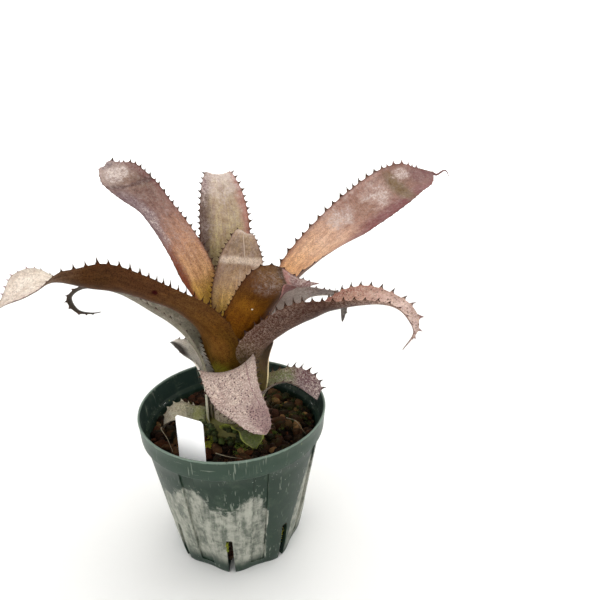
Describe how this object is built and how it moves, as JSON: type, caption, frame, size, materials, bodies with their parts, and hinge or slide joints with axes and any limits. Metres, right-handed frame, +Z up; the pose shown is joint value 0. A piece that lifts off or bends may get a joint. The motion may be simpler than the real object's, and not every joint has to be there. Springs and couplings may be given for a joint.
{
  "type": "potted bromeliad",
  "caption": "Bromeliad rosette of arching channelled leaves with spiny edges, in a slotted plastic nursery pot of granular soil with a blank label.",
  "frame": {"origin": "centre of the pot's underside", "axes": "+Z up; the front of the pot, where the label stands, faces -Y; +X is to the right seen from the front"},
  "size_m": [0.2147, 0.1365, 0.219],
  "materials": {
    "pot": "worn satin with pale lime stains",
    "soil": "rough baked clay and bark granules",
    "stem": "fibrous",
    "label": "plain white, left blank",
    "leaf_heart_back": "olive beige with silver scurf",
    "leaf_heart_front": "bronze, glossy outside",
    "leaf_back": "green beige with pink edges",
    "leaf_back_left": "pinkish tan with silver scurf",
    "leaf_back_right": "orange tan to mauve with silver bands",
    "leaf_left_front": "bronze outside, cream tip",
    "leaf_right_front": "bronze speckled with silver",
    "leaf_front_drooping": "silver pink mottling",
    "leaf_right_rear": "grey green speckled",
    "leaf_left_rear": "grey green speckled",
    "leaf_left_short": "grey green speckled",
    "leaf_right_low": "olive to silver pink",
    "leaf_front_stub": "green",
    "leaf_left_low": "pale green silver",
    "leaf_rear_low": "silver pink mottling"
  },
  "bodies": {
    "root": {"pot": "pot", "soil": "soil", "stem": "stem", "label": "label", "leaf_heart_back": "leaf_heart_back", "leaf_heart_front": "leaf_heart_front", "leaf_back": "leaf_back", "leaf_back_left": "leaf_back_left", "leaf_back_right": "leaf_back_right", "leaf_left_front": "leaf_left_front", "leaf_right_front": "leaf_right_front", "leaf_front_drooping": "leaf_front_drooping", "leaf_right_rear": "leaf_right_rear", "leaf_left_rear": "leaf_left_rear", "leaf_left_short": "leaf_left_short", "leaf_right_low": "leaf_right_low", "leaf_front_stub": "leaf_front_stub", "leaf_left_low": "leaf_left_low", "leaf_rear_low": "leaf_rear_low"}
  },
  "joints": []
}
